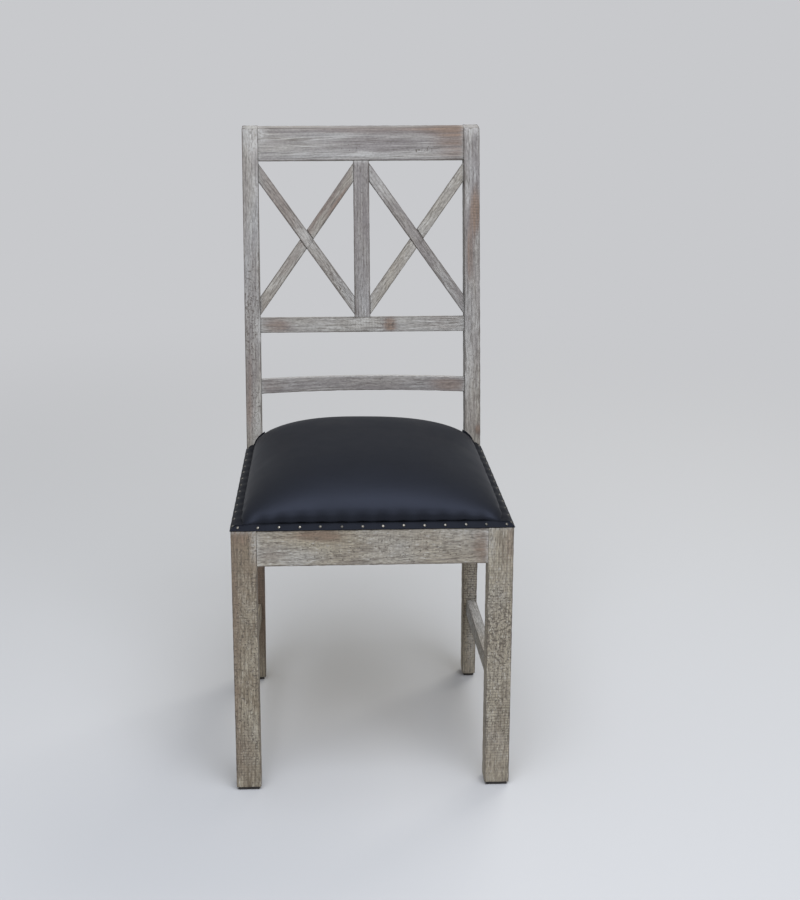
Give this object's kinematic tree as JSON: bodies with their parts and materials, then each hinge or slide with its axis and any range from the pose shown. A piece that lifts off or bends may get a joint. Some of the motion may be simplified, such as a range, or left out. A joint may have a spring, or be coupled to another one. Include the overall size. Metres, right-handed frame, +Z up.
{
  "type": "dining chair",
  "caption": "Side chair of worn limewashed hardwood, with a raked back of crossed bars and a crowned black leather seat edged with small brass nails.",
  "frame": {"origin": "on the floor, under the middle of the chair's box", "axes": "+Z up, -Y the way the chair faces, +X to the right of someone who looks at its front"},
  "size_m": [0.453, 0.5694, 1.01],
  "materials": {
    "limewashed_wood": "hardwood with a thin white wash, rubbed through to brown along the edges",
    "raw_wood": "unfinished sawn wood",
    "plywood": "unfinished plywood",
    "black_leather": "smooth black leather with a satin sheen",
    "foam": "open-cell upholstery foam",
    "nail_brass": "dull antique brass",
    "screw_steel": "zinc-plated steel",
    "glide_plastic": "dark moulded plastic"
  },
  "bodies": {
    "root": {"back_block_screw_left": "screw_steel", "back_block_screw_right": "screw_steel", "back_board_screw_left": "screw_steel", "back_board_screw_right": "screw_steel", "back_corner_block_left": "raw_wood", "back_corner_block_right": "raw_wood", "back_nail_strip": "black_leather", "back_post_left": "limewashed_wood", "back_post_right": "limewashed_wood", "back_seat_rail": "limewashed_wood", "centre_stile": "limewashed_wood", "crest_rail": "limewashed_wood", "falling_cross_bar_left": "limewashed_wood", "falling_cross_bar_right": "limewashed_wood", "front_block_screw_left": "screw_steel", "front_block_screw_right": "screw_steel", "front_board_screw_left": "screw_steel", "front_board_screw_right": "screw_steel", "front_corner_block_left": "raw_wood", "front_corner_block_right": "raw_wood", "front_glide_left": "glide_plastic", "front_glide_right": "glide_plastic", "front_leg_left": "limewashed_wood", "front_leg_right": "limewashed_wood", "front_nail_strip": "black_leather", "front_seat_rail": "limewashed_wood", "lattice_rail": "limewashed_wood", "lumbar_rail": "limewashed_wood", "rear_glide_left": "glide_plastic", "rear_glide_right": "glide_plastic", "rising_cross_bar_left": "limewashed_wood", "rising_cross_bar_right": "limewashed_wood", "seat_board": "plywood", "seat_foam": "foam", "seat_leather": "black_leather", "side_nail_strip_left": "black_leather", "side_nail_strip_right": "black_leather", "side_seat_rail_left": "limewashed_wood", "side_seat_rail_right": "limewashed_wood", "side_stretcher_left": "limewashed_wood", "side_stretcher_right": "limewashed_wood"}
  },
  "joints": []
}
